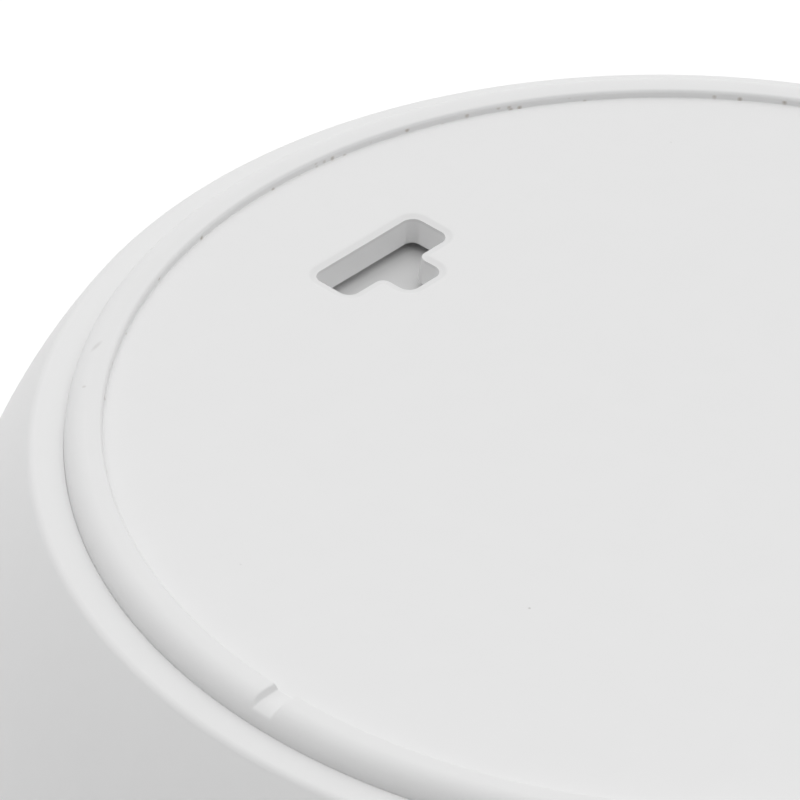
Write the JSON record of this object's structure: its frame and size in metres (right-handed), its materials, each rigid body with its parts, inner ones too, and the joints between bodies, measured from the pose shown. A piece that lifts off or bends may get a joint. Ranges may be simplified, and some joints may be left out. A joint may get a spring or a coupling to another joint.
{
  "type": "temperature humidity sensor",
  "caption": "Round wall or table temperature and humidity sensor with a display, a lift-off back cover with a T slot for a stand, a side button and vents.",
  "frame": {"origin": "centre of the device's front rest plane, with the device lying face down", "axes": "+Z from the front towards the back cover, +Y towards the top when it hangs on a wall (the button's side), -Y towards the T slot and the vents"},
  "size_m": [0.0774, 0.0777, 0.025],
  "materials": {
    "case_plastic": "fine satin moulded ABS, white",
    "cover_plastic": "fine satin moulded ABS, white",
    "clear_window": "clear acrylic, printed white behind except over the display",
    "tape": "double-sided film tape",
    "polariser": "satin film",
    "display_glass": "thin polished glass",
    "reflector": "film with a satin reflector",
    "holder_plastic": "moulded ABS, natural white",
    "contact_rubber": "silicone with fine conductive layers",
    "board": "glass epoxy with green solder mask",
    "chip_body": "moulded epoxy, black",
    "radio_board": "glass epoxy with blue-black solder mask",
    "shield_metal": "tinned sheet",
    "chip_ceramic": "ceramic with tinned ends",
    "sensor_body": "white package with a small opening",
    "capacitor_can": "drawn can",
    "screw_steel": "nickel-plated",
    "switch_plastic": "moulded nylon, black",
    "plunger_plastic": "moulded nylon, natural",
    "button_plastic": "fine satin moulded ABS, white",
    "cell_wrap": "plain gloss wrap without print",
    "contact_metal": "nickel-plated spring steel"
  },
  "bodies": {
    "casing": {"front_bezel": "case_plastic", "rear_housing": "case_plastic", "display_window": "clear_window", "window_adhesive": "tape", "lcd_front_polariser": "polariser", "lcd_front_glass": "display_glass", "lcd_rear_glass": "display_glass", "lcd_rear_polariser": "reflector", "lcd_holder": "holder_plastic", "zebra_strips": "contact_rubber", "circuit_board": "board", "display_driver_chip": "chip_body", "radio_board": "radio_board", "radio_shield": "shield_metal", "crystal_can": "shield_metal", "chip_capacitors": "chip_ceramic", "humidity_sensor_chip": "sensor_body", "storage_capacitor": "capacitor_can", "housing_screws": "screw_steel", "switch_body": "switch_plastic", "battery_cell_upper": "cell_wrap", "battery_cell_lower": "cell_wrap", "bridge_contact": "contact_metal", "negative_contact": "contact_metal", "positive_contact": "contact_metal"},
    "cover": {"back_cover": "cover_plastic"},
    "button": {"button_cap": "button_plastic", "switch_plunger": "plunger_plastic"}
  },
  "joints": [
    {"name": "cover_lift", "type": "slide", "parent": "casing", "child": "cover", "axis": [0, 0, 1], "range_m": [0, 0.03]},
    {"name": "button_press", "type": "slide", "parent": "casing", "child": "button", "axis": [0, -1, 0], "range_m": [0, 0.0005], "stiffness_N_per_m": 400}
  ]
}
